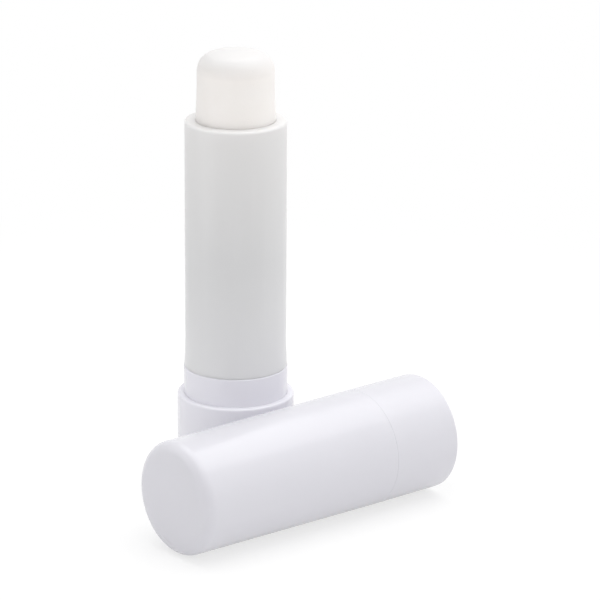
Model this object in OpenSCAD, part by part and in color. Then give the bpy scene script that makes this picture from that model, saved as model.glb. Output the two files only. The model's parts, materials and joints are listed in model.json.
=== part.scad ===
// Twist-up lip balm stick that stands open, with its cap taken off and laid in front of it.
// Millimetres, +Z up. The origin is the centre of the base's underside.
// +X runs along the cap that lies down, from its closed end to its mouth.

/* [Base shell] */
// Outer diameter of the turning base
base_d = 19; // [17.5:0.1:24]
// Height of the base shell from its underside to the ledge
base_h = 16; // [14:0.5:24]
// Wall of the base shell, which leaves a ledge of this width round the collar
base_wall = 1.05; // [0.8:0.05:1.4]
// Thickness of the closed bottom
base_floor = 1.4; // [0.8:0.1:2.5]
// Rounding of the bottom edge
base_round = 1.2; // [0.4:0.1:2]
// Rounding of the outer edge of the ledge
ledge_round = 0.35; // [0.1:0.05:0.6]

/* [Base insert] */
// Height of the collar that stands above the ledge
collar_h = 4.7; // [3:0.1:8]
// Wall of the insert, round the socket for the sleeve
insert_wall = 0.95; // [0.8:0.05:1.2]
// How far the collar reaches down into the shell, below the ledge
collar_sink = 0.15; // [0.05:0.05:0.15]
// Height of the ring at the insert's foot that centres it in the shell
ring_h = 1.5; // [1:0.1:3]
// Thickness of the web between the wall and the hub
web_t = 1.4; // [0.8:0.1:2]
// Wall of the hub round the plug of the spindle
hub_wall = 1.4; // [0.8:0.1:2]
// Number of stiffening ribs below the web
gusset_count = 4; // [3:1:8]
// Thickness of a stiffening rib
gusset_t = 0.8; // [0.5:0.1:1.2]
// Rounding of the top edge of the collar
collar_round = 0.25; // [0.1:0.05:0.4]

/* [Spindle] */
// Radius of the spindle's core, between the threads
core_r = 1.6; // [1.3:0.05:1.8]
// Height of the thread above the core
thread_h = 1; // [0.6:0.05:1.1]
// Rise of the thread in one turn
thread_lead = 5; // [4:0.5:8]
// Share of a turn that the thread takes at its root, in degrees
root_deg = 120; // [100:5:140]
// Share of a turn that the thread takes at its crest, in degrees
crest_deg = 60; // [40:5:80]
// Height from the carrier's lowest place to the top of the thread
screw_h = 36.5; // [34:0.5:38]
// Length of the plain tip above the thread
tip_h = 1.2; // [0.5:0.1:2]
// Step in from the core to the plain tip
tip_step = 0.15; // [0.05:0.05:0.4]
// Radius of the plug pressed into the hub
plug_r = 2.4; // [1.8:0.1:3]
// Radius of the flange that rests on the web
flange_r = 3.6; // [3.2:0.1:5]
// Thickness of the flange
flange_t = 1; // [0.6:0.1:2]
// Width of the key that keeps the plug from turning in the hub
key_w = 0.8; // [0.5:0.1:1.2]
// Height of the key above the plug
key_h = 0.5; // [0.3:0.1:0.6]

/* [Sleeve] */
// Height of the sleeve from its shoulder on the collar to the rim
sleeve_h = 41; // [40:0.5:55]
// Step in from the collar's outside to the sleeve's outside
sleeve_step = 0.25; // [0.1:0.05:0.4]
// Step in from the collar's outside to the sleeve's slightly flared foot
foot_step = 0.07; // [0.04:0.01:0.1]
// Height of the flare above the foot
flare_h = 2.6; // [1:0.1:4]
// Length of the neck inside the base
neck_h = 6.5; // [5:0.5:8]
// Wall of the neck
neck_wall = 1; // [0.8:0.05:1.2]
// Height of the snap bead above the neck's outside
bead_h = 0.3; // [0.15:0.05:0.35]
// Length of the snap bead along the neck
bead_l = 1; // [0.8:0.1:1.5]
// Number of guide ribs in the bore
rib_count = 4; // [2:1:6]
// Width of a guide rib
rib_w = 0.9; // [0.6:0.1:1.4]
// Height of a guide rib above the bore
rib_h = 0.4; // [0.3:0.05:0.45]
// Distance from the rim down to the top of the ribs
rib_stop = 12.8; // [12:0.2:15]
// Rounding of the rim's outer and inner edges
rim_round = 0.4; // [0.1:0.05:0.5]

/* [Carrier] */
// Height of the carrier's cup
cup_h = 10; // [7:0.5:12]
// Wall of the cup
cup_wall = 0.85; // [0.7:0.05:1]
// Thickness of the cup's floor
cup_floor = 1; // [0.6:0.1:1.6]
// Length of the threaded nut in the cup's middle
nut_h = 6; // [5:0.5:8]
// Wall of the nut outside the thread
nut_wall = 1; // [0.7:0.05:1.1]
// How far the carrier has been screwed up from its lowest place
lift = 11.9; // [0:0.1:30]

/* [Balm] */
// Rounding of the top edge of the balm
balm_round = 3; // [1:0.1:3.5]
// Rise of the balm's slightly domed top
balm_dome = 0.4; // [0.2:0.05:0.8]
// Depth of the balm below the rim when the carrier is at its lowest
balm_sink = 0.5; // [0.2:0.1:2]

/* [Cap] */
// Wall of the cap at its mouth
cap_wall = 0.95; // [0.8:0.05:1.3]
// Thickness of the closed end
cap_end = 1.4; // [0.8:0.1:2]
// Free height inside the cap above the rim
cap_head = 3.8; // [2:0.1:8]
// How much the radius shrinks from the mould line to the closed end
cap_draft = 0.3; // [0.05:0.05:0.4]
// Rounding of the closed end's outer edge
cap_round = 1.8; // [0.8:0.1:2.2]
// Rounding of the inner edge at the closed end
cap_inner_round = 1; // [0.3:0.1:2]
// Rounding of the mouth's outer edge
mouth_round = 0.25; // [0.1:0.05:0.4]
// Distance of the fine mould line from the mouth, which is the length of the straight band
line_up = 12.8; // [8:0.1:20]
// Width of the mould line
line_w = 0.22; // [0.1:0.02:0.4]
// Depth of the mould line
line_depth = 0.12; // [0.05:0.01:0.2]
// Clear space between the base and the cap that lies beside it
cap_apart = 0.65; // [0.3:0.05:20]
// How far the cap's closed end lies behind the stick's axis, along X
cap_back = 28; // [0:0.5:60]

/* [Clearances] */
// Radial clearance of the insert's skirt in the shell, between the collar and the foot ring
skirt_gap = 0.2; // [0.16:0.02:0.3]
// Radial clearance of the sleeve's neck in the base insert
neck_gap = 0.05; // [0.02:0.01:0.1]
// Clearance round the snap bead in its groove
bead_gap = 0.1; // [0.05:0.01:0.15]
// Seam between the collar's top and the sleeve's shoulder
seam_gap = 0.1; // [0.05:0.05:0.3]
// Space below the neck, and below the carrier at its lowest
floor_gap = 0.3; // [0.1:0.05:0.6]
// Radial clearance of the carrier in the bore
carrier_gap = 0.1; // [0.05:0.01:0.15]
// Radial clearance of the balm in the bore
balm_gap = 0.2; // [0.1:0.05:0.3]
// Clearance of the ribs in the notches of the carrier and the balm
rib_gap = 0.1; // [0.05:0.01:0.15]
// Radial clearance of the thread in the nut
thread_gap = 0.2; // [0.15:0.01:0.25]
// Clearance of the thread's flanks in the nut, in degrees of a turn
flank_gap = 8; // [6:1:10]
// Clearance of the balm round the spindle
core_gap = 0.3; // [0.2:0.05:0.5]
// Clearance of the key in the hub
key_gap = 0.04; // [0.02:0.01:0.08]
// Radial clearance of the cap on the collar
cap_gap = 0.05; // [0.02:0.01:0.1]

/* [Hidden] */
$fn = 96;
// Overlap that makes cuts run clean through a face
over = 0.5;
// Angle between neighbouring points of the thread's profile
profile_step = 18;
// Turn of the thread in one slice of its extrusion
slice_step = 20;
// Depth that the ribs are rooted in the sleeve's wall
rib_root = 0.3;

// Radii, from the outside in
base_r = base_d / 2;
insert_r = base_r - base_wall;
skirt_r = insert_r - skirt_gap;
socket_r = insert_r - insert_wall;
sleeve_r = insert_r - sleeve_step;
foot_r = insert_r - foot_step;
neck_r = socket_r - neck_gap;
bore_r = neck_r - neck_wall;
rib_r = bore_r - rib_h;
notch_r = rib_r - rib_gap;
carrier_r = bore_r - carrier_gap;
cup_r = carrier_r - cup_wall;
balm_r = bore_r - balm_gap;
crest_r = core_r + thread_h;
nut_r = crest_r + thread_gap + nut_wall;
balm_bore_r = crest_r + core_gap;

// Heights of the base and the sleeve
collar_top = base_h + collar_h;
shoulder_z = collar_top + seam_gap;
rim_z = shoulder_z + sleeve_h;
neck_z = shoulder_z - neck_h;
web_top = neck_z - floor_gap;
rib_top = rim_z - rib_stop;

// Heights of the screw and what it lifts
flange_top = web_top + flange_t;
carrier_low = flange_top + floor_gap;
carrier_z = carrier_low + lift;
thread_len = carrier_low + screw_h - flange_top;
screw_top = flange_top + thread_len + tip_h;
cup_inside = carrier_z + cup_floor;
cup_top = carrier_z + cup_h;
nut_top = carrier_z + nut_h;
balm_top = rim_z - balm_sink + lift;
balm_bore_top = screw_top + core_gap + lift;
groove_top = rib_top + rib_gap + lift;

// The cap
cap_bore_r = insert_r + cap_gap;
cap_r = cap_bore_r + cap_wall;
cap_closed_r = cap_r - cap_draft;
cap_l = rim_z - base_h + cap_head + cap_end;
cap_line = cap_l - line_up;
cap_slope = atan2(cap_draft, cap_line);
cap_y = -(base_r + cap_r + cap_apart);

// Corner of a profile that is cut away to leave a quarter round, at its top
module top_round(r, z, e) {
    translate([r - e, z - e])
        difference() {
            square(e + over);
            circle(e);
        }
}

// The same at the bottom of a profile
module bottom_round(r, z, e) {
    translate([r - e, z + e])
        mirror([0, 1])
            difference() {
                square(e + over);
                circle(e);
            }
}

// The same at the top of a profile's inner wall
module inner_round(r, z, e) {
    translate([r + e, z - e])
        mirror([1, 0])
            difference() {
                square(e + over);
                circle(e);
            }
}

// Rectangle of a profile between two radii and two heights
module band(r_in, r_out, z_low, z_high) {
    translate([r_in, z_low]) square([r_out - r_in, z_high - z_low]);
}

// Ring in the shape of the snap bead, or of its groove with a clearance
module bead_band(gap) {
    foot = neck_z + bead_l / 2;
    rise = bead_h + neck_gap;
    polygon([
        [neck_r - neck_wall / 2, foot - gap],
        [neck_r, foot - gap],
        [neck_r + bead_h + gap, foot + rise],
        [neck_r + bead_h + gap, foot + bead_l],
        [neck_r, foot + bead_l + rise + gap],
        [neck_r - neck_wall / 2, foot + bead_l + rise + gap]
    ]);
}

// Radius of the thread's profile at an angle from the middle of its crest
function thread_r(angle, gap, widen) =
    let (
        root = root_deg / 2 + widen,
        crest = crest_deg / 2 + widen,
        share = (root - abs(angle)) / (root - crest)
    )
    core_r + gap + thread_h * max(0, min(1, share));

// One left-hand thread from height z_low, in phase with the spindle's foot
module thread(z_low, length, gap, widen) {
    slices = ceil(360 * length / thread_lead / slice_step);
    translate([0, 0, z_low])
        rotate(-360 * (z_low - flange_top) / thread_lead)
            linear_extrude(height = length, twist = 360 * length / thread_lead, slices = slices,
                $fn = 360 / profile_step)
                polygon([
                    for (a = [-180 : profile_step : 180 - profile_step])
                        thread_r(a, gap, widen) * [cos(a), sin(a)]
                ]);
}

// Upright bars spread evenly round the axis, from one radius to another
module bars(count, width, r_in, r_out, z_low, z_high) {
    for (i = [0 : count - 1])
        rotate(360 * i / count)
            translate([r_in, -width / 2, z_low])
                cube([r_out - r_in, width, z_high - z_low]);
}

// Outer shell of the base, a closed cup that is held in the hand
module base_shell() {
    color([0.93, 0.92, 0.96])
        rotate_extrude()
            difference() {
                band(0, base_r, 0, base_h);
                band(-over, insert_r, base_floor, base_h + over);
                bottom_round(base_r, 0, base_round);
                top_round(base_r, base_h, ledge_round);
            }
}

// Insert of the base: collar, skirt with its foot ring, socket for the sleeve, web and hub
module base_insert() {
    web_low = web_top - web_t;
    hub_r = plug_r + hub_wall;
    slot_r = plug_r + key_h + key_gap;
    color([0.9, 0.89, 0.95])
        difference() {
            union() {
                rotate_extrude()
                    difference() {
                        union() {
                            band(socket_r, insert_r, base_h - collar_sink, collar_top);
                            band(socket_r, skirt_r, base_floor, collar_top);
                            band(socket_r, insert_r, base_floor, base_floor + ring_h);
                            band(plug_r, skirt_r, web_low, web_top);
                            band(plug_r, hub_r, base_floor, web_top);
                        }
                        bead_band(bead_gap);
                        top_round(insert_r, collar_top, collar_round);
                        inner_round(socket_r, collar_top, collar_round);
                    }
                bars(gusset_count, gusset_t, hub_r - hub_wall / 2, socket_r + insert_wall / 2,
                    base_floor, web_low);
            }
            translate([0, -key_w / 2 - key_gap, base_floor - over])
                cube([slot_r, key_w + 2 * key_gap, web_top - base_floor + 2 * over]);
        }
}

// Screw that stands in the hub and turns with the base
module spindle() {
    plug_z = base_floor + floor_gap;
    color([0.85, 0.85, 0.87])
        union() {
            translate([0, 0, plug_z]) cylinder(r = plug_r, h = web_top - plug_z);
            translate([0, -key_w / 2, plug_z]) cube([plug_r + key_h, key_w, web_top - plug_z]);
            translate([0, 0, web_top]) cylinder(r = flange_r, h = flange_t);
            thread(flange_top, thread_len, 0, 0);
            translate([0, 0, flange_top + thread_len]) cylinder(r = core_r - tip_step, h = tip_h);
        }
}

// Translucent tube that stands on the collar by its flared foot, with its neck snapped into the base
module sleeve() {
    color([0.84, 0.84, 0.86, 0.8])
        union() {
            rotate_extrude()
                difference() {
                    union() {
                        band(bore_r, neck_r, neck_z, shoulder_z + over);
                        band(bore_r, sleeve_r, shoulder_z, rim_z);
                        polygon([
                            [bore_r, shoulder_z],
                            [foot_r, shoulder_z],
                            [sleeve_r, shoulder_z + flare_h],
                            [bore_r, shoulder_z + flare_h]
                        ]);
                        bead_band(0);
                    }
                    top_round(sleeve_r, rim_z, rim_round);
                    inner_round(bore_r, rim_z, rim_round);
                }
            bars(rib_count, rib_w, rib_r, bore_r + rib_root, neck_z, rib_top);
        }
}

// Cup that holds the balm and climbs the spindle by the nut in its middle
module carrier() {
    color([0.95, 0.95, 0.95])
        difference() {
            rotate_extrude()
                union() {
                    band(0, carrier_r, carrier_z, cup_inside);
                    band(cup_r, carrier_r, carrier_z, cup_top);
                    band(0, nut_r, carrier_z, nut_top);
                }
            thread(carrier_z - over, nut_h + 2 * over, thread_gap, flank_gap);
            bars(rib_count, rib_w + 2 * rib_gap, notch_r, carrier_r + over,
                carrier_z - over, cup_top + over);
        }
}

// Outline of the balm's outside: the foot inside the cup, the stick and its domed top
module balm_outline() {
    shoulder = balm_top - balm_dome;
    band(0, cup_r, cup_inside, cup_top);
    difference() {
        band(0, balm_r, cup_top, shoulder);
        top_round(balm_r, shoulder, balm_round);
    }
}

// Shallow dome that lies on the balm's flat top, up to the start of its rounding
module balm_crown() {
    rim = balm_r - balm_round;
    ball = (rim * rim + balm_dome * balm_dome) / (2 * balm_dome);
    intersection() {
        translate([0, balm_top - ball]) circle(ball);
        band(0, rim, cup_top, balm_top + over);
    }
}

// The balm, cast into the cup and round the nut, with a blind hole for the spindle
module balm() {
    color([0.95, 0.93, 0.9])
        difference() {
            rotate_extrude()
                difference() {
                    union() {
                        balm_outline();
                        balm_crown();
                    }
                    band(-over, nut_r, cup_inside - over, nut_top);
                    band(-over, balm_bore_r, cup_inside, balm_bore_top);
                }
            bars(rib_count, rib_w + 2 * rib_gap, notch_r, balm_r + over, cup_top, groove_top);
        }
}

// Outside of the cap: a straight band at the mouth, then a slight taper to a rounded closed end
module cap_outline() {
    turn = cap_closed_r - cap_round * (1 - sin(cap_slope)) / cos(cap_slope);
    difference() {
        union() {
            polygon([
                [0, 0],
                [turn, 0],
                [turn, cap_round],
                [turn + cap_round * cos(cap_slope), cap_round * (1 - sin(cap_slope))],
                [cap_r, cap_line],
                [cap_r, cap_l],
                [0, cap_l]
            ]);
            translate([turn, cap_round]) circle(cap_round);
        }
        top_round(cap_r, cap_l, mouth_round);
    }
}

// Space inside the cap, with its rounded inner end
module cap_hollow() {
    difference() {
        band(-over, cap_bore_r, cap_end, cap_l + over);
        bottom_round(cap_bore_r, cap_end, cap_inner_round);
    }
}

// The cap, taken off and laid down beside the stick
module cap() {
    color([0.95, 0.94, 0.98])
        translate([-cap_back, cap_y, cap_r])
            rotate([0, 90, 0])
                rotate_extrude()
                    difference() {
                        cap_outline();
                        cap_hollow();
                        polygon([
                            [cap_r - line_depth, cap_line],
                            [cap_r, cap_line - line_w / 2],
                            [cap_r + over, cap_line - line_w / 2],
                            [cap_r + over, cap_line + line_w / 2],
                            [cap_r, cap_line + line_w / 2]
                        ]);
                    }
}

base_shell();
base_insert();
spindle();
sleeve();
carrier();
balm();
cap();
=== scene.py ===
import json
import math

import bpy
from mathutils import Matrix, Vector, noise


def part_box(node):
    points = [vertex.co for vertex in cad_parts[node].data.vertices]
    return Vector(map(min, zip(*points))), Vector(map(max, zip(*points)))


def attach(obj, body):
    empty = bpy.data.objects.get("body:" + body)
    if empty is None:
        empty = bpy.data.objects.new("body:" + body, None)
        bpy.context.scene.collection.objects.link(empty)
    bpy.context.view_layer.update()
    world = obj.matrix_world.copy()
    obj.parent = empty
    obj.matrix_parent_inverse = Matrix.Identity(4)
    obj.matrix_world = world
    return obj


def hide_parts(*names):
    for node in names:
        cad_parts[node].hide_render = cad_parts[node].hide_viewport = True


# Twist-up lip balm stick with its cap laid in front of it. Everything is in metres. Outer sizes
# come from the frame's boxes and mounts, and the finer ones are named here as on the real object.
MM = 0.001

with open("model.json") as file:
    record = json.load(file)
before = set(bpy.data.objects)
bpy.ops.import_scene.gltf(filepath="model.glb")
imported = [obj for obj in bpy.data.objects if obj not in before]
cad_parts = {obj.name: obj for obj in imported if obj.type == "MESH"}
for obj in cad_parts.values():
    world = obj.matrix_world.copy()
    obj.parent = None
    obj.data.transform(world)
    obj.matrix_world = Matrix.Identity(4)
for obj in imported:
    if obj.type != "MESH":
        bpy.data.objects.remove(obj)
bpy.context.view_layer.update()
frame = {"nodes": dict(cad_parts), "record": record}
scene = bpy.context.scene
mounts = {m["name"]: m for m in frame["record"]["mounts"]}
collar_r = mounts["collar"]["dims"]["r_mm"] * MM
cap_bore_r = mounts["cap_mouth"]["dims"]["r_mm"] * MM

# Base shell
BASE_WALL = 1.05 * MM
BASE_FLOOR = 1.4 * MM
BASE_ROUND = 1.2 * MM
LEDGE_ROUND = 0.35 * MM

# Sleeve
INSERT_WALL = 0.95 * MM
NECK_GAP = 0.05 * MM
NECK_WALL = 1.0 * MM
SLEEVE_STEP = 0.25 * MM
FOOT_STEP = 0.07 * MM
FLARE_HEIGHT = 2.6 * MM
FLARE_ROUND = 60 * MM
RIM_ROUND = 0.4 * MM
RIM_INNER_ROUND = 0.05 * MM
SEAM = 0.015 * MM
BEAD_HEIGHT = 0.3 * MM
BEAD_LENGTH = 1.0 * MM
RIB_COUNT = 4
RIB_WIDTH = 0.9 * MM
RIB_HEIGHT = 0.4 * MM
RIB_STOP = 12.8 * MM
RIB_GAP = 0.1 * MM

# Balm, the room inside it for the screw and the nut, and its grooves
LIFT = 11.9 * MM
BALM_ROUND = 3.0 * MM
BALM_DOME = 0.4 * MM
BALM_WALL_GAP = 0.01 * MM
BALM_TAPER = (0.6 * MM, 5.0 * MM)
TAPER_ROUND = 25 * MM
BALM_ABOVE_SCREW = 8.0 * MM
SCREW_ROOM_RADIUS = 2.9 * MM
NUT_RADIUS = 3.8 * MM
NUT_HEIGHT = 6.0 * MM
CUP_RADIUS = 5.5 * MM
CUP_FLOOR = 1.0 * MM
GROOVE_DEPTH = 0.3 * MM
BALM_ROW = 0.6 * MM
BALM_WAVE = 0.045 * MM
BALM_WAVE_SIZE = 3.5 * MM

# Cap
CAP_END = 1.4 * MM
CAP_DRAFT = 0.3 * MM
CAP_ROUND = 1.75 * MM
CAP_FLAT_RADIUS = 7.1 * MM
CAP_CROWN = math.radians(5)
CAP_CROWN_EASE = 0.3 * MM
CAP_INNER_ROUND = 1.0 * MM
MOUTH_ROUND = 0.25 * MM
LINE_FROM_MOUTH = 12.8 * MM
LINE_WIDTH = 0.22 * MM
LINE_DEPTH = 0.05 * MM

# Fineness of the turned meshes
TURN_STEPS = 240
ARC_STEP = math.radians(9)
TINY_ROUND = 0.05 * MM
SUPPORT = 0.04 * MM
FLANK = 0.06 * MM
DOME_STEPS = 14

# Camera, in the photograph's place. AIM is where it looks, beside and below the stick's middle
AZIMUTH = math.radians(-39.4)
ELEVATION = math.radians(17.87)
ROLL = math.radians(0.36)
DISTANCE = 553.4 * MM
LENS = 205.4
SENSOR = 36
CLIP_START = 0.01
AIM_HEIGHT = 38 * MM
AIM_RIGHT = 10.43 * MM
AIM_UP = -6.1 * MM

# Light: a softbox overhead, a small low one at the left, and a tent of an even level with soft
# lobes on top. Each lobe is (direction, sharpness, level): in front on the left, in front on the
# right, above, left, and behind on the left, where it takes light away. All were fitted to the photo
TENT_LEVEL = 0.41
TENT_LOBES = (
    ((-0.635, -0.773, 0), 2, 0.15),
    ((0.773, -0.635, 0), 2, 0.78),
    ((0, 0, 1), 2, 0.23),
    ((-0.95, -0.3, 0), 6, 0.7),
    ((-0.43, 0.9, 0), 4, -0.36),
)
TOP_LOW_CORNER = (-0.22, -0.3)
TOP_HIGH_CORNER = (0.43, 0.34)
TOP_HEIGHT = 0.5
TOP_RADIANCE = 1.66
LEFT_MIDDLE = (-0.075, 0.02, 0.047)
LEFT_SIZE = (0.06, 0.06)
LEFT_RADIANCE = 0.68

# Colours, tuned to the photo together with the lights. SHADE and CLOUD are the darker patches
# Base, insert and cap are one white plastic. Its colour is painted lighter on the base and insert, as
# painted light in their shade behind the cap. It is painted darker on the cap, as painted shade
# against the stronger light on it.
BASE_COLOR_PAINTED_LIGHTER = (0.805, 0.797, 0.848)
BASE_SHADE_PAINTED_LIGHTER = (0.792, 0.785, 0.838)
INSERT_COLOR_PAINTED_LIGHTER = (0.8, 0.792, 0.846)
INSERT_SHADE_PAINTED_LIGHTER = (0.787, 0.78, 0.836)
CAP_COLOR_PAINTED_DARKER = (0.7, 0.694, 0.738)
CAP_SHADE_PAINTED_DARKER = (0.69, 0.684, 0.728)
SPINDLE_COLOR = (0.8, 0.8, 0.81)
SPINDLE_SHADE = (0.78, 0.78, 0.79)
CARRIER_COLOR = (0.86, 0.86, 0.86)
CARRIER_SHADE = (0.84, 0.84, 0.84)
SLEEVE_COLOR = (0.667, 0.667, 0.672)
SLEEVE_CLOUD = (0.655, 0.655, 0.659)
SLEEVE_STREAK = (0.681, 0.681, 0.685)
# Painted light on the sleeve: its colour is lighter towards the rim, for the balm's glow through the
# wall, and lighter at the foot, against the shade of the lying cap.
SLEEVE_PAINTED_RIM_LIGHT = (0.76, 0.75, 0.745)
SLEEVE_PAINTED_RIM_LIGHT_FROM = 40 * MM
SLEEVE_PAINTED_RIM_LIGHT_TO = 64 * MM
SLEEVE_PAINTED_FOOT_LIGHT = (0.725, 0.725, 0.735)
SLEEVE_PAINTED_FOOT_LIGHT_FROM = 22 * MM
SLEEVE_PAINTED_FOOT_LIGHT_TO = 38 * MM
BALM_COLOR = (0.918, 0.884, 0.858)
BALM_CLOUD = (0.906, 0.87, 0.842)
# Painted shade: the balm's top is painted darker, only to stay below white under the softbox.
BALM_TOP_PAINTED_SHADE = (0.72, 0.71, 0.705)
BALM_TOP_PAINTED_SHADE_FROM = 69.5 * MM
BALM_TOP_PAINTED_SHADE_TO = 72.2 * MM

# Grain of the flow marks per axis: upright mouldings, the lying cap, and the pieces inside
UPRIGHT_FLOW = (1, 1, 0.08)
LYING_FLOW = (0.08, 1, 1)
INNER_FLOW = (1, 1, 0.2)

# Floor. Its shadow is shown at SHADOW_SHARE up to SHADOW_FROM, and fades out to SHADOW_TO
FLOOR_RADIUS = 3.0
FLOOR_STEPS = 64
FLOOR_SHADOW_FROM = 0.05
FLOOR_SHADOW_TO = 0.16
FLOOR_SEEN = (0.96, 0.96, 0.96, 1)
FLOOR_BOUNCE = (0.84, 0.84, 0.84, 1)
FLOOR_SHADOW_SHARE = 0.3


def rounded_profile(corners, longest=None):
    """Points (radius, height) along the corners (radius, height, rounding), each corner as an arc.

    A support point lies just outside each arc, so that smooth shading stays within the arc.
    """
    points = [Vector(corners[0][:2])]
    for i in range(1, len(corners) - 1):
        corner = Vector(corners[i][:2])
        rounding = corners[i][2]
        into = (corner - Vector(corners[i - 1][:2])).normalized()
        out = (Vector(corners[i + 1][:2]) - corner).normalized()
        turn = math.atan2(into.x * out.y - into.y * out.x, into.dot(out))
        if rounding == 0 or abs(turn) < 1e-4:
            points.append(corner)
            continue
        tangent = rounding * math.tan(abs(turn) / 2)
        side = math.copysign(1, turn)
        start = corner - into * tangent
        centre = start + Vector((-into.y, into.x)) * rounding * side
        spoke = start - centre
        steps = max(3, math.ceil(abs(turn) / ARC_STEP))
        points.append(start - into * SUPPORT)
        for k in range(steps + 1):
            points.append(centre + Matrix.Rotation(turn * k / steps, 2) @ spoke)
        points.append(corner + out * (tangent + SUPPORT))
    points.append(Vector(corners[-1][:2]))
    if longest is None:
        return points
    dense = [points[0]]
    for a, b in zip(points, points[1:]):
        parts = max(1, math.ceil((b - a).length / longest))
        dense += [a.lerp(b, k / parts) for k in range(1, parts + 1)]
    return dense


def turned(name, points, closed, angles, shape=None, place=None):
    """Mesh object turned round +Z from a profile. shape may change a point's radius and height."""
    verts = []
    rows = []
    for p in points:
        if p.x < 1e-9:
            rows.append([len(verts)] * len(angles))
            verts.append(Vector((0, 0, p.y)))
            continue
        row = []
        for angle in angles:
            radius, height = shape(p.x, p.y, angle) if shape else (p.x, p.y)
            row.append(len(verts))
            verts.append(Vector((radius * math.cos(angle), radius * math.sin(angle), height)))
        rows.append(row)
    if closed:
        rows.append(rows[0])
    faces = []
    for low, high in zip(rows, rows[1:]):
        for k in range(len(angles)):
            n = (k + 1) % len(angles)
            corners = [low[k], low[n], high[n], high[k]]
            face = [c for j, c in enumerate(corners) if c != corners[j - 1]]
            if len(face) > 2:
                faces.append(face)
    if place:
        verts = [place(v) for v in verts]
    mesh = bpy.data.meshes.new(name)
    mesh.from_pydata(verts, [], faces)
    mesh.shade_smooth()
    mesh.validate()
    piece = bpy.data.objects.new(name, mesh)
    scene.collection.objects.link(piece)
    return piece


def even_angles(extra=()):
    """Angles of a full turn, with further ones where the outline changes quickly."""
    whole = {round(2 * math.pi * k / TURN_STEPS, 6) for k in range(TURN_STEPS)}
    return sorted(whole | {round(a % (2 * math.pi), 6) for a in extra})


def ease(value, low, high):
    """0 below low, 1 above high, smooth between them."""
    t = min(1, max(0, (value - low) / (high - low)))
    return t * t * (3 - 2 * t)


def bar_angles(half_angle, flank_angle):
    """Angles along the flanks of the upright bars or grooves."""
    found = []
    for i in range(RIB_COUNT):
        middle = 2 * math.pi * i / RIB_COUNT
        for step in range(-2, 3):
            edge = half_angle + flank_angle * step / 4
            found += [middle - edge, middle + edge]
    return found


def bar_share(angle, half_angle, flank_angle):
    """1 on an upright bar or groove, 0 beside it, with a short smooth flank."""
    pitch = 2 * math.pi / RIB_COUNT
    off = abs((angle + pitch / 2) % pitch - pitch / 2)
    return 1 - ease(off, half_angle - flank_angle / 2, half_angle + flank_angle / 2)


def stands_for(piece, node, body):
    """The piece takes a CAD node's place on its body."""
    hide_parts(node)
    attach(piece, body)
    return piece


def make_base_shell():
    """Closed cup of the base, with its rounded foot and the ledge round the collar."""
    low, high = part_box("base_shell")
    inner = high.x - BASE_WALL
    corners = [
        (0, low.z, 0),
        (high.x, low.z, BASE_ROUND),
        (high.x, high.z, LEDGE_ROUND),
        (inner, high.z, TINY_ROUND),
        (inner, BASE_FLOOR, TINY_ROUND),
        (0, BASE_FLOOR, 0),
    ]
    piece = turned("base_shell_body", rounded_profile(corners), False, even_angles())
    return stands_for(piece, "base_shell", "base")


def sleeve_bore():
    """Radius of the sleeve's bore, inside the neck that turns in the collar."""
    return collar_r - INSERT_WALL - NECK_GAP - NECK_WALL


def make_sleeve():
    """Frosted tube: snap neck, flared foot, rounded rim and the guide ribs in its bore."""
    low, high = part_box("sleeve")
    bore = sleeve_bore()
    neck = bore + NECK_WALL
    tube = collar_r - SLEEVE_STEP
    foot = collar_r - FOOT_STEP
    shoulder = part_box("base_insert")[1].z + SEAM
    rib_top = high.z - RIB_STOP
    bead_low = low.z + BEAD_LENGTH / 2
    slope = BEAD_HEIGHT + NECK_GAP
    corners = [
        (bore, rib_top - FLANK, 0),
        (bore, low.z, TINY_ROUND),
        (neck, low.z, TINY_ROUND),
        (neck, bead_low, TINY_ROUND),
        (neck + BEAD_HEIGHT, bead_low + slope, TINY_ROUND),
        (neck + BEAD_HEIGHT, bead_low + BEAD_LENGTH, TINY_ROUND),
        (neck, bead_low + BEAD_LENGTH + slope, TINY_ROUND),
        (neck, shoulder, TINY_ROUND),
        (foot, shoulder, TINY_ROUND),
        (tube, shoulder + FLARE_HEIGHT, FLARE_ROUND),
        (tube, high.z, RIM_ROUND),
        (bore, high.z, RIM_INNER_ROUND),
        (bore, rib_top, 0),
        (bore, rib_top - FLANK / 2, 0),
    ]
    half_angle = RIB_WIDTH / 2 / (bore - RIB_HEIGHT)
    flank_angle = FLANK / bore

    def ribs(radius, height, angle):
        if radius > bore + TINY_ROUND / 10:
            return radius, height
        share = bar_share(angle, half_angle, flank_angle)
        share *= 1 - ease(height, rib_top - FLANK, rib_top)
        return radius - RIB_HEIGHT * share, height

    angles = even_angles(bar_angles(half_angle, flank_angle))
    piece = turned("sleeve_tube", rounded_profile(corners), True, angles, ribs)
    return stands_for(piece, "sleeve", "sleeve_body")


def balm_top_points(radius, top):
    """The domed top and its rounding, from the side wall to the axis, without a crease."""
    lean = math.atan(2 * BALM_DOME / (radius - BALM_ROUND))
    rim = radius - BALM_ROUND * (1 - math.sin(lean))
    drop = rim * math.tan(lean) / 2
    centre = Vector((radius - BALM_ROUND, top - drop - BALM_ROUND * math.cos(lean)))
    sweep = math.pi / 2 - lean
    steps = math.ceil(sweep / ARC_STEP)
    points = []
    for k in range(steps + 1):
        angle = sweep * k / steps
        points.append(centre + BALM_ROUND * Vector((math.cos(angle), math.sin(angle))))
    for k in range(DOME_STEPS - 1, -1, -1):
        r = rim * k / DOME_STEPS
        points.append(Vector((r, top - drop * (r / rim) ** 2)))
    return points


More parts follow.
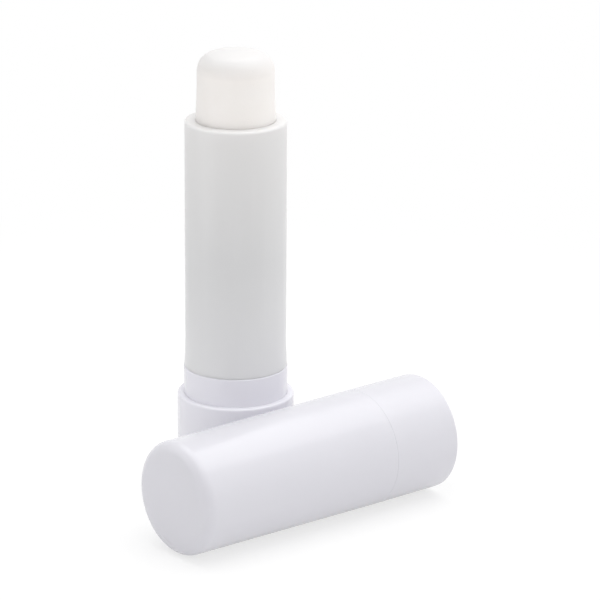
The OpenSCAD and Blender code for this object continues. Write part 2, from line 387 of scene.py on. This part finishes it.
def make_balm():
    """The balm: a waxy stick with a soft domed top, cast round the nut, with its four grooves."""
    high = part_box("balm")[1]
    cup_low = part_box("carrier")[0].z
    cup_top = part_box("carrier")[1].z
    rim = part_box("sleeve")[1].z
    radius = high.x
    wall_radius = sleeve_bore() - BALM_WALL_GAP
    groove_radius = radius - GROOVE_DEPTH
    top_points = balm_top_points(radius, high.z)
    room_top = high.z - BALM_ABOVE_SCREW
    groove_top = rim - RIB_STOP + RIB_GAP + LIFT
    # Two plain rows at the groove's end keep it short, so that the ribs' tops stay clear below it
    corners = [
        (0, room_top, 0),
        (SCREW_ROOM_RADIUS, room_top, TINY_ROUND),
        (SCREW_ROOM_RADIUS, cup_low + NUT_HEIGHT, TINY_ROUND),
        (NUT_RADIUS, cup_low + NUT_HEIGHT, TINY_ROUND),
        (NUT_RADIUS, cup_low + CUP_FLOOR, TINY_ROUND),
        (CUP_RADIUS, cup_low + CUP_FLOOR, TINY_ROUND),
        (CUP_RADIUS, cup_top, TINY_ROUND),
        (wall_radius, cup_top, TINY_ROUND),
        (wall_radius, groove_top - FLANK, 0),
        (wall_radius, groove_top, 0),
        (wall_radius, rim + BALM_TAPER[0], TAPER_ROUND),
        (radius, rim + BALM_TAPER[1], TAPER_ROUND),
        (radius, top_points[0].y, 0),
    ]
    points = rounded_profile(corners, BALM_ROW)[:-1] + top_points
    half_angle = (RIB_WIDTH / 2 + RIB_GAP) / radius
    flank_angle = FLANK / radius

    def grooves_and_waves(r, height, angle):
        in_cup = height < cup_top + TINY_ROUND
        in_screw_room = r < SCREW_ROOM_RADIUS + TINY_ROUND and height < room_top + TINY_ROUND
        if in_cup or in_screw_room:
            return r, height
        spot = Vector((r * math.cos(angle), r * math.sin(angle), height)) / BALM_WAVE_SIZE
        wave = BALM_WAVE * (0.5 + 0.5 * noise.noise(spot)) * ease(r, 0, BALM_ROUND)
        wave *= ease(height, rim, rim + BALM_TAPER[1])
        if r > groove_radius:
            groove = bar_share(angle, half_angle, flank_angle)
            groove *= 1 - ease(height, groove_top - FLANK, groove_top)
            return r - max(wave, (r - groove_radius) * groove), height
        return r - wave / 2, height - wave / 2

    angles = even_angles(bar_angles(half_angle, flank_angle))
    piece = turned("balm_stick", points, False, angles, grooves_and_waves)
    return stands_for(piece, "balm", "lift_body")


def make_cap():
    """The cap: straight at the mouth, then a slight taper to the rounded closed end."""
    low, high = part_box("cap")
    length = high.x - low.x
    outer = (high.z - low.z) / 2
    line = length - LINE_FROM_MOUTH
    axis_y = (low.y + high.y) / 2
    closed_radius = outer - CAP_DRAFT
    crown_depth = (closed_radius - CAP_FLAT_RADIUS) * math.tan(CAP_CROWN)
    corners = [
        (0, 0, 0),
        (CAP_FLAT_RADIUS, 0, CAP_CROWN_EASE),
        (closed_radius, crown_depth, CAP_ROUND),
        (outer, line - LINE_WIDTH / 2, TINY_ROUND),
        (outer - LINE_DEPTH, line, TINY_ROUND),
        (outer, line + LINE_WIDTH / 2, TINY_ROUND),
        (outer, length, MOUTH_ROUND),
        (cap_bore_r, length, TINY_ROUND),
        (cap_bore_r, CAP_END, CAP_INNER_ROUND),
        (0, CAP_END, 0),
    ]

    def lie_down(v):
        return Vector((low.x + v.z, axis_y + v.y, low.z + outer - v.x))

    piece = turned("cap_body", rounded_profile(corners), False, even_angles(), None, lie_down)
    return stands_for(piece, "cap", "cap_body")


class Shader:
    """A material's node tree around one Principled shader, with short calls for its usual nodes."""

    def __init__(self, name, color, roughness):
        self.material = bpy.data.materials.new(name)
        self.material.use_nodes = True
        self.tree = self.material.node_tree
        self.bsdf = self.tree.nodes["Principled BSDF"]
        self.bsdf.inputs["Base Color"].default_value = (*color, 1)
        self.bsdf.inputs["Roughness"].default_value = roughness
        self.coords = self.tree.nodes.new("ShaderNodeTexCoord").outputs["Object"]

    def set(self, **values):
        for name, value in values.items():
            self.bsdf.inputs[name.replace("_", " ")].default_value = value

    def link(self, output, socket):
        self.tree.links.new(output, socket)

    def stretched(self, scale):
        """Object coordinates scaled per axis, for grain that runs one way."""
        node = self.tree.nodes.new("ShaderNodeMapping")
        node.inputs["Scale"].default_value = scale
        self.link(self.coords, node.inputs["Vector"])
        return node.outputs["Vector"]

    def axis(self, name):
        """Place along one axis, in metres."""
        node = self.tree.nodes.new("ShaderNodeSeparateXYZ")
        self.link(self.coords, node.inputs["Vector"])
        return node.outputs[name]

    def noise(self, scale, detail=2.0, coords=None):
        node = self.tree.nodes.new("ShaderNodeTexNoise")
        node.inputs["Scale"].default_value = scale
        node.inputs["Detail"].default_value = detail
        self.link(coords or self.coords, node.inputs["Vector"])
        return node.outputs["Fac"]

    def ranged(self, value, low, high, to_low, to_high):
        node = self.tree.nodes.new("ShaderNodeMapRange")
        node.inputs["From Min"].default_value = low
        node.inputs["From Max"].default_value = high
        node.inputs["To Min"].default_value = to_low
        node.inputs["To Max"].default_value = to_high
        self.link(value, node.inputs["Value"])
        return node.outputs["Result"]

    def blended(self, share, a, b):
        """Colour that goes from a to b as share goes from 0 to 1. a and b are colours or outputs."""
        node = self.tree.nodes.new("ShaderNodeMix")
        node.data_type = "RGBA"
        self.link(share, node.inputs["Factor"])
        for key, value in (("A", a), ("B", b)):
            socket = mix_socket(node.inputs, key, "RGBA")
            if isinstance(value, tuple):
                socket.default_value = (*value, 1)
            else:
                self.link(value, socket)
        return mix_socket(node.outputs, "Result", "RGBA")

    def color(self, output):
        self.link(output, self.bsdf.inputs["Base Color"])

    def roughness(self, output):
        self.link(output, self.bsdf.inputs["Roughness"])

    def bump(self, heights):
        """Chains bumps, each (height output, depth in metres)."""
        normal = None
        for height, depth in heights:
            node = self.tree.nodes.new("ShaderNodeBump")
            node.inputs["Distance"].default_value = depth
            node.inputs["Strength"].default_value = 1.0
            self.link(height, node.inputs["Height"])
            if normal:
                self.link(normal, node.inputs["Normal"])
            normal = node.outputs["Normal"]
        self.link(normal, self.bsdf.inputs["Normal"])

    def soften(self, weight, depth):
        """Light scatters under the surface to about this depth."""
        self.set(Subsurface_Weight=weight, Subsurface_Radius=(1.0, 1.0, 1.0), Subsurface_Scale=depth)


def moulded_plastic(name, color, shade, flow, peel=1.0, gloss=0.22, soft=0.25):
    """Glossy injection-moulded plastic: soft tone changes, flow marks, orange peel and patchy gloss.
    """
    s = Shader(name, color, gloss)
    s.soften(soft, 0.7 * MM)
    s.set(IOR=1.49)
    clouds = s.ranged(s.noise(90, 3), 0.35, 0.7, 0, 1)
    streaks = s.ranged(s.noise(260, 2, s.stretched(flow)), 0.42, 0.7, 0, 0.5)
    s.color(s.blended(streaks, s.blended(clouds, color, shade), shade))
    s.roughness(s.ranged(s.noise(170, 3), 0.3, 0.7, gloss - 0.02, gloss + 0.03))
    s.bump([
        (s.noise(650, 2), 0.006 * MM * peel),
        (s.noise(4200, 3), 0.0009 * MM * peel),
    ])
    return s.material


def frosted_tube():
    """Natural plastic of the sleeve: grey, a little translucent, silky, with upright flow marks.

    Painted light makes it lighter towards the rim and at the foot, as the photo shows it.
    """
    s = Shader("frosted_sleeve", SLEEVE_COLOR, 0.33)
    s.soften(0.6, 1.3 * MM)
    s.set(IOR=1.49)
    clouds = s.ranged(s.noise(70, 2), 0.35, 0.7, 0, 1)
    streaks = s.ranged(s.noise(420, 3, s.stretched((1, 1, 0.04))), 0.4, 0.68, 0, 0.6)
    # Painted light: the colour lightens towards the rim and again at the foot.
    height = s.ranged(s.axis("Z"), SLEEVE_PAINTED_RIM_LIGHT_FROM, SLEEVE_PAINTED_RIM_LIGHT_TO, 0, 1)
    grain = s.blended(streaks, s.blended(clouds, SLEEVE_COLOR, SLEEVE_CLOUD), SLEEVE_STREAK)
    foot = s.ranged(s.axis("Z"), SLEEVE_PAINTED_FOOT_LIGHT_FROM, SLEEVE_PAINTED_FOOT_LIGHT_TO, 1, 0)
    s.color(s.blended(foot, s.blended(height, grain, SLEEVE_PAINTED_RIM_LIGHT), SLEEVE_PAINTED_FOOT_LIGHT))
    s.roughness(s.ranged(s.noise(300, 3, s.stretched((1, 1, 0.08))), 0.3, 0.7, 0.28, 0.36))
    s.bump([
        (s.noise(700, 2, s.stretched((1, 1, 0.12))), 0.004 * MM),
        (s.noise(9000, 2), 0.0012 * MM),
    ])
    return s.material


def wax():
    """The balm: warm white wax, satin, tiny pits and a slightly uneven skin.

    Its top is painted darker only to stay below white under the softbox overhead. The wax itself
    isn't darker there, so under other light the top looks greyer than it should.
    """
    s = Shader("balm_wax_skin", BALM_COLOR, 0.42)
    s.soften(0.8, 1.5 * MM)
    s.set(IOR=1.44)
    clouds = s.ranged(s.noise(220, 3), 0.35, 0.7, 0, 1)
    # Painted shade: the colour darkens over the top.
    height = s.ranged(s.axis("Z"), BALM_TOP_PAINTED_SHADE_FROM, BALM_TOP_PAINTED_SHADE_TO, 0, 1)
    s.color(s.blended(height, s.blended(clouds, BALM_COLOR, BALM_CLOUD), BALM_TOP_PAINTED_SHADE))
    s.roughness(s.ranged(s.noise(600, 3), 0.3, 0.7, 0.36, 0.5))
    pits = s.ranged(s.noise(2600, 1), 0.2, 0.34, 0, 1)
    s.bump([
        (s.noise(420, 2), 0.02 * MM),
        (pits, 0.012 * MM),
        (s.noise(5200, 3), 0.002 * MM),
    ])
    return s.material


def paint(node_or_piece, material):
    """Gives an object one material, in every slot that it has."""
    if not node_or_piece.material_slots:
        node_or_piece.data.materials.append(material)
    for slot in node_or_piece.material_slots:
        slot.material = material


def add_area(name, size, middle, towards, radiance):
    """Soft rectangular lamp of an even radiance, which the camera doesn't see."""
    lamp = bpy.data.lights.new(name, "AREA")
    lamp.shape = "RECTANGLE"
    lamp.size = size[0]
    lamp.size_y = size[1]
    lamp.energy = radiance * math.pi * size[0] * size[1]
    holder = bpy.data.objects.new(name, lamp)
    holder.location = middle
    holder.rotation_euler = (Vector(towards) - Vector(middle)).to_track_quat("-Z", "Y").to_euler()
    holder.visible_camera = False
    scene.collection.objects.link(holder)


def mix_socket(sockets, name, kind="VALUE"):
    """The socket of a Mix node that works on this kind of value."""
    return next(s for s in sockets if s.name == name and s.type == kind)


def seen_directly(tree):
    """1 for camera, mirror and see-through rays, 0 for the rays that light things."""
    path = tree.nodes.new("ShaderNodeLightPath")
    glossy = tree.nodes.new("ShaderNodeMath")
    glossy.operation = "MAXIMUM"
    through = tree.nodes.new("ShaderNodeMath")
    through.operation = "MAXIMUM"
    tree.links.new(path.outputs["Is Camera Ray"], glossy.inputs[0])
    tree.links.new(path.outputs["Is Glossy Ray"], glossy.inputs[1])
    tree.links.new(glossy.outputs["Value"], through.inputs[0])
    tree.links.new(path.outputs["Is Transmission Ray"], through.inputs[1])
    return through.outputs["Value"]


def tent_level(tree):
    """How bright the tent is in each direction: an even level, and soft lobes on top of it."""
    coords = tree.nodes.new("ShaderNodeTexCoord").outputs["Generated"]
    total = None
    for direction, sharpness, level in TENT_LOBES:
        dot = tree.nodes.new("ShaderNodeVectorMath")
        dot.operation = "DOT_PRODUCT"
        dot.inputs[1].default_value = direction
        tree.links.new(coords, dot.inputs[0])
        facing = tree.nodes.new("ShaderNodeMath")
        facing.operation = "MAXIMUM"
        facing.inputs[1].default_value = 0.0
        tree.links.new(dot.outputs["Value"], facing.inputs[0])
        lobe = tree.nodes.new("ShaderNodeMath")
        lobe.operation = "POWER"
        lobe.inputs[1].default_value = sharpness
        tree.links.new(facing.outputs["Value"], lobe.inputs[0])
        added = tree.nodes.new("ShaderNodeMath")
        added.operation = "MULTIPLY_ADD"
        added.inputs[1].default_value = level
        added.inputs[2].default_value = TENT_LEVEL
        tree.links.new(lobe.outputs["Value"], added.inputs[0])
        if total:
            tree.links.new(total, added.inputs[2])
        total = added.outputs["Value"]
    return total


def make_world():
    """White where it is seen, and a soft tent of light for everything that it lights."""
    world = bpy.data.worlds.new("tent")
    world.use_nodes = True
    scene.world = world
    tree = world.node_tree
    background = tree.nodes["Background"]
    background.inputs["Color"].default_value = (1, 1, 1, 1)
    strength = tree.nodes.new("ShaderNodeMix")
    strength.data_type = "FLOAT"
    tree.links.new(seen_directly(tree), strength.inputs["Factor"])
    tree.links.new(tent_level(tree), mix_socket(strength.inputs, "A"))
    mix_socket(strength.inputs, "B").default_value = 1.0
    tree.links.new(mix_socket(strength.outputs, "Result"), background.inputs["Strength"])


def make_floor():
    """Plain pale floor. It lights things as white paper does, and looks white with a soft shadow."""
    mesh = bpy.data.meshes.new("floor")
    ring = []
    for k in range(FLOOR_STEPS):
        angle = 2 * math.pi * k / FLOOR_STEPS
        ring.append((FLOOR_RADIUS * math.cos(angle), FLOOR_RADIUS * math.sin(angle), 0))
    mesh.from_pydata(ring, [], [list(range(FLOOR_STEPS))])
    floor = bpy.data.objects.new("floor", mesh)
    scene.collection.objects.link(floor)
    material = bpy.data.materials.new("pale_floor")
    material.use_nodes = True
    tree = material.node_tree
    tree.nodes.remove(tree.nodes["Principled BSDF"])
    output = tree.nodes["Material Output"]
    paper = tree.nodes.new("ShaderNodeBsdfDiffuse")
    direct = seen_directly(tree)
    color = tree.nodes.new("ShaderNodeMix")
    color.data_type = "RGBA"
    tree.links.new(direct, color.inputs["Factor"])
    mix_socket(color.inputs, "A", "RGBA").default_value = FLOOR_BOUNCE
    mix_socket(color.inputs, "B", "RGBA").default_value = FLOOR_SEEN
    tree.links.new(mix_socket(color.outputs, "Result", "RGBA"), paper.inputs["Color"])
    white = tree.nodes.new("ShaderNodeEmission")
    white.inputs["Strength"].default_value = 1.0
    coords = tree.nodes.new("ShaderNodeTexCoord")
    length = tree.nodes.new("ShaderNodeVectorMath")
    length.operation = "LENGTH"
    tree.links.new(coords.outputs["Object"], length.inputs[0])
    far = tree.nodes.new("ShaderNodeMapRange")
    far.interpolation_type = "SMOOTHSTEP"
    far.inputs["From Min"].default_value = FLOOR_SHADOW_FROM
    far.inputs["From Max"].default_value = FLOOR_SHADOW_TO
    far.inputs["To Min"].default_value = 1 - FLOOR_SHADOW_SHARE
    far.inputs["To Max"].default_value = 1.0
    tree.links.new(length.outputs["Value"], far.inputs["Value"])
    lift = tree.nodes.new("ShaderNodeMath")
    lift.operation = "MULTIPLY"
    tree.links.new(direct, lift.inputs[0])
    tree.links.new(far.outputs["Result"], lift.inputs[1])
    mix = tree.nodes.new("ShaderNodeMixShader")
    tree.links.new(lift.outputs["Value"], mix.inputs["Fac"])
    tree.links.new(paper.outputs["BSDF"], mix.inputs[1])
    tree.links.new(white.outputs["Emission"], mix.inputs[2])
    tree.links.new(mix.outputs["Shader"], output.inputs["Surface"])
    paint(floor, material)


def make_camera():
    """The photograph's camera: a long lens, a little above and to the left of the stick."""
    back = Vector((
        math.sin(AZIMUTH) * math.cos(ELEVATION),
        -math.cos(AZIMUTH) * math.cos(ELEVATION),
        math.sin(ELEVATION),
    ))
    level_right = (-back).cross(Vector((0, 0, 1))).normalized()
    level_up = level_right.cross(-back)
    aim = Vector((0, 0, AIM_HEIGHT)) + level_right * AIM_RIGHT + level_up * AIM_UP
    right = level_right * math.cos(ROLL) + level_up * math.sin(ROLL)
    up = level_up * math.cos(ROLL) - level_right * math.sin(ROLL)
    data = bpy.data.cameras.new("camera")
    data.lens = LENS
    data.sensor_width = SENSOR
    data.clip_start = CLIP_START
    camera = bpy.data.objects.new("camera", data)
    turn = Matrix((right, up, back)).transposed().to_4x4()
    camera.matrix_world = Matrix.Translation(aim + back * DISTANCE) @ turn
    scene.collection.objects.link(camera)
    scene.camera = camera


def make_lights():
    """A softbox overhead, which draws the bright band on the cap, and a small low one at the left."""
    low = Vector(TOP_LOW_CORNER)
    high = Vector(TOP_HIGH_CORNER)
    middle = ((low + high) / 2).to_3d() + Vector((0, 0, TOP_HEIGHT))
    add_area("softbox_top", high - low, middle, middle - Vector((0, 0, 1)), TOP_RADIANCE)
    add_area("softbox_left", LEFT_SIZE, LEFT_MIDDLE, (0, 0, LEFT_MIDDLE[2]), LEFT_RADIANCE)


make_camera()
make_world()
make_floor()
make_lights()

nodes = frame["nodes"]
# The base, insert and cap colours carry painted light and painted shade: lighter on the base and
# insert, darker on the cap.
base_gloss = moulded_plastic("base_gloss", BASE_COLOR_PAINTED_LIGHTER, BASE_SHADE_PAINTED_LIGHTER, UPRIGHT_FLOW)
insert_gloss = moulded_plastic("insert_gloss", INSERT_COLOR_PAINTED_LIGHTER, INSERT_SHADE_PAINTED_LIGHTER, UPRIGHT_FLOW)
cap_gloss = moulded_plastic("cap_gloss", CAP_COLOR_PAINTED_DARKER, CAP_SHADE_PAINTED_DARKER, LYING_FLOW)
natural = moulded_plastic("spindle_natural", SPINDLE_COLOR, SPINDLE_SHADE, INNER_FLOW, 1.5, 0.4)
white = moulded_plastic("carrier_white", CARRIER_COLOR, CARRIER_SHADE, INNER_FLOW, 1.5, 0.38)
paint(make_base_shell(), base_gloss)
paint(nodes["base_insert"], insert_gloss)
paint(make_sleeve(), frosted_tube())
paint(make_balm(), wax())
paint(make_cap(), cap_gloss)
paint(nodes["spindle"], natural)
paint(nodes["carrier"], white)

scene.view_settings.view_transform = "Standard"
